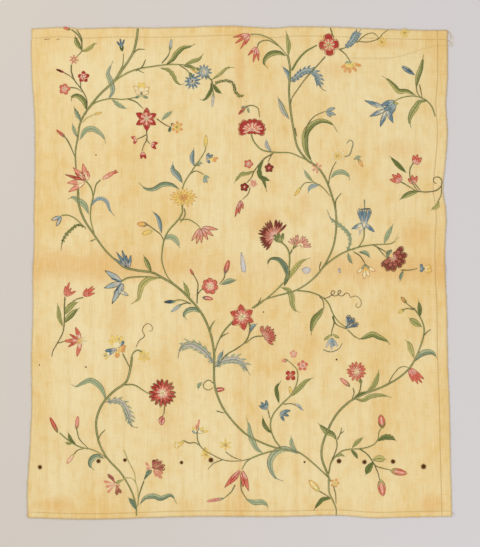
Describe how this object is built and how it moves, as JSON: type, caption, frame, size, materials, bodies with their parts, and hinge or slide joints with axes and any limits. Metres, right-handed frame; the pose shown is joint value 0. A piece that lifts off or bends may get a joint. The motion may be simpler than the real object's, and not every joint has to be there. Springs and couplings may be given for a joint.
{
  "type": "embroidered linen cloth",
  "caption": "Flat rectangular linen cloth with narrow hems, old fold lines and small worn holes, embroidered all over with trailing flowering vines.",
  "frame": {"origin": "middle of the cloth's outline, on the surface that it lies on", "axes": "+Y up the cloth as the picture is seen, along its longer side; +Z out of its embroidered face"},
  "size_m": [0.6794, 0.789, 0.0031],
  "materials": {
    "linen": "plain-woven, yellowed and stained, matt"
  },
  "bodies": {
    "root": {"embroidered_cloth": "linen"}
  },
  "joints": []
}
